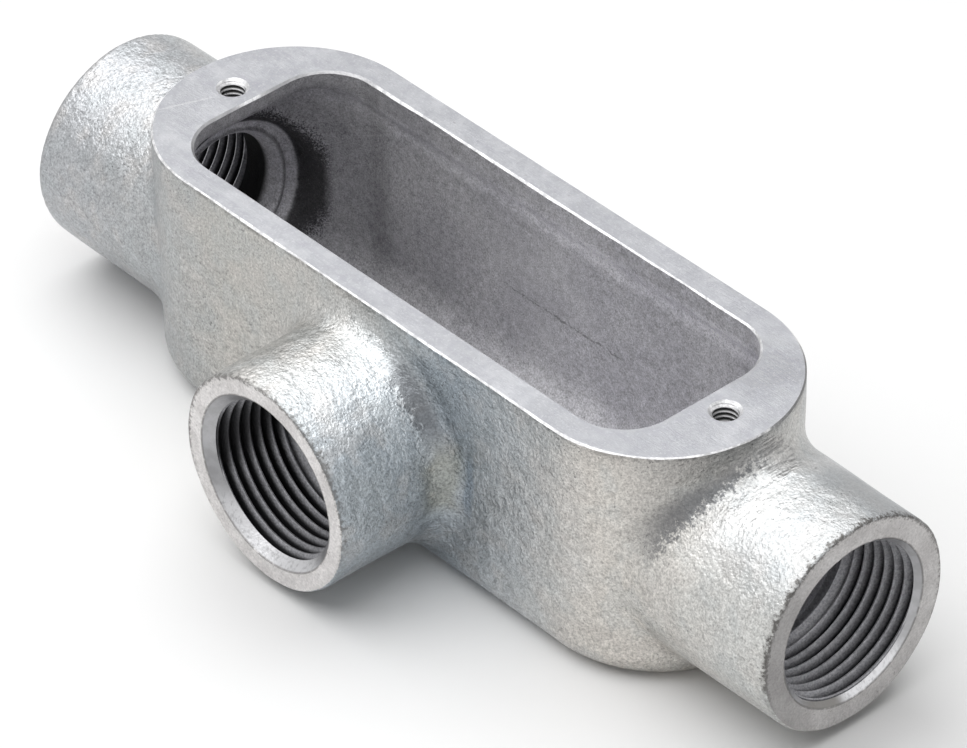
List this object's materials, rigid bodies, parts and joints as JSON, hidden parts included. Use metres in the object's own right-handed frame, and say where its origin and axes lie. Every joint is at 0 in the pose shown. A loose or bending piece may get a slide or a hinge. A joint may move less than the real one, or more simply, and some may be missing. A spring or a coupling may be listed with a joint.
{
  "type": "conduit body",
  "caption": "Cast conduit body: open wiring chamber with a flat cover face, two threaded hubs in line and one threaded hub at its side.",
  "frame": {"origin": "centre of the flat base, straight below the middle of the cover opening", "axes": "+X along the run through the two hubs in line, +Z out through the cover opening, side hub towards -Y"},
  "size_m": [0.15, 0.057, 0.0391],
  "materials": {
    "zinc_plated_iron": "zinc plated as-cast skin with machined cover face, hub faces and threads"
  },
  "bodies": {
    "root": {"conduit_body": "zinc_plated_iron"}
  },
  "joints": []
}
